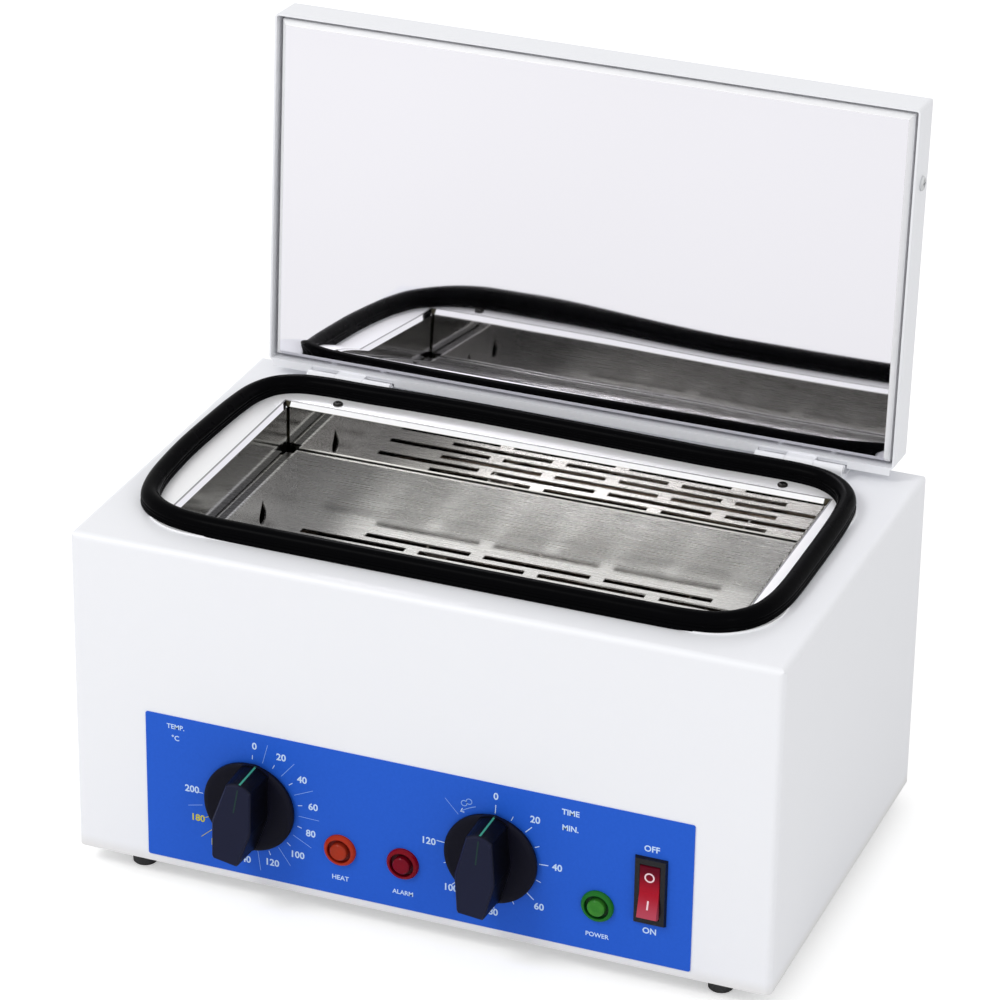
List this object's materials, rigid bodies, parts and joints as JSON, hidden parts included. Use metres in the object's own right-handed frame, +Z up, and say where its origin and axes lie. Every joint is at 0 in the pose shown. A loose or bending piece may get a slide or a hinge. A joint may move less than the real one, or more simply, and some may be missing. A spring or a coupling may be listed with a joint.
{
  "type": "dry heat sterilizer",
  "caption": "Bench dry heat sterilizer: white steel cabinet, heated steel chamber with a slotted lift-out tray, rubber seal, hinged lid and a blue control panel.",
  "frame": {"origin": "on the bench, under the middle of the cabinet's footprint, level with the bottoms of the feet", "axes": "+X to the right as the user sees the control panel, +Y to the rear, +Z up; the control panel faces -Y"},
  "size_m": [0.34, 0.2601, 0.3543],
  "materials": {
    "casing_white": "semi-gloss powder coat",
    "zinc_steel": "zinc plated",
    "dark_steel": "blackened",
    "foot_rubber": "matt",
    "seal_rubber": "glossy",
    "label_blue": "printed film",
    "polished_steel": "mirror polished",
    "tray_steel": "brushed",
    "heater_sheath": "heat tinted",
    "wool": "mineral wool",
    "switchgear_black": "moulded",
    "knob_black": "satin",
    "lens_amber": "translucent",
    "lens_red": "translucent",
    "lens_green": "translucent",
    "switch_black": "gloss",
    "rocker_red": "translucent",
    "terminal_white": "moulded",
    "gland_black": "moulded",
    "handle_black": "satin"
  },
  "bodies": {
    "cabinet": {"housing": "casing_white", "base_plate": "zinc_steel", "base_screws": "zinc_steel", "feet": "foot_rubber", "foot_screws": "zinc_steel", "control_label": "label_blue", "chamber": "polished_steel", "flange_screws": "dark_steel", "tray_rails": "tray_steel", "seal": "seal_rubber", "chamber_insulation": "wool", "heater": "heater_sheath", "heater_brackets": "tray_steel", "thermostat_bulb": "tray_steel", "bulb_clips": "tray_steel", "safety_cutout": "switchgear_black", "thermostat_body": "switchgear_black", "timer_body": "switchgear_black", "bush_nuts": "zinc_steel", "lamp_lens_amber": "lens_amber", "lamp_lens_red": "lens_red", "lamp_lens_green": "lens_green", "lamp_barrels": "switchgear_black", "lamp_nuts": "zinc_steel", "switch_body": "switch_black", "terminal_block": "terminal_white", "cord_gland": "gland_black", "hinge_brackets": "casing_white", "hinge_pins": "zinc_steel", "hinge_screws": "zinc_steel"},
    "lid": {"lid_shell": "casing_white", "lid_panel": "polished_steel", "lid_insulation": "wool", "lid_side_screws": "zinc_steel", "lid_leaves": "casing_white", "leaf_screws": "zinc_steel", "lid_handle": "handle_black", "handle_screws": "zinc_steel"},
    "temperature_control": {"temperature_knob": "knob_black", "thermostat_shaft": "zinc_steel"},
    "timer_control": {"timer_knob": "knob_black", "timer_shaft": "zinc_steel"},
    "rocker": {"switch_rocker": "rocker_red"},
    "tray": {"tray": "tray_steel"}
  },
  "joints": [
    {"name": "lid_hinge", "type": "hinge", "parent": "cabinet", "child": "lid", "pos_m": [0, 0.0839, 0.1775], "axis": [1, 0, 0], "range_deg": [0, 93.5]},
    {"name": "temperature_turn", "type": "hinge", "parent": "cabinet", "child": "temperature_control", "pos_m": [-0.0812, -0.105, 0.0513], "axis": [0, 1, 0], "range_deg": [-10.5, 259.5]},
    {"name": "timer_turn", "type": "hinge", "parent": "cabinet", "child": "timer_control", "pos_m": [0.0373, -0.105, 0.0513], "axis": [0, 1, 0], "range_deg": [-43.5, 264.5]},
    {"name": "switch_rock", "type": "hinge", "parent": "cabinet", "child": "rocker", "pos_m": [0.1128, -0.1043, 0.0513], "axis": [1, 0, 0], "range_deg": [0, 16]},
    {"name": "tray_lift", "type": "slide", "parent": "cabinet", "child": "tray", "axis": [0, 0, -1], "range_m": [-0.09, 0]}
  ]
}
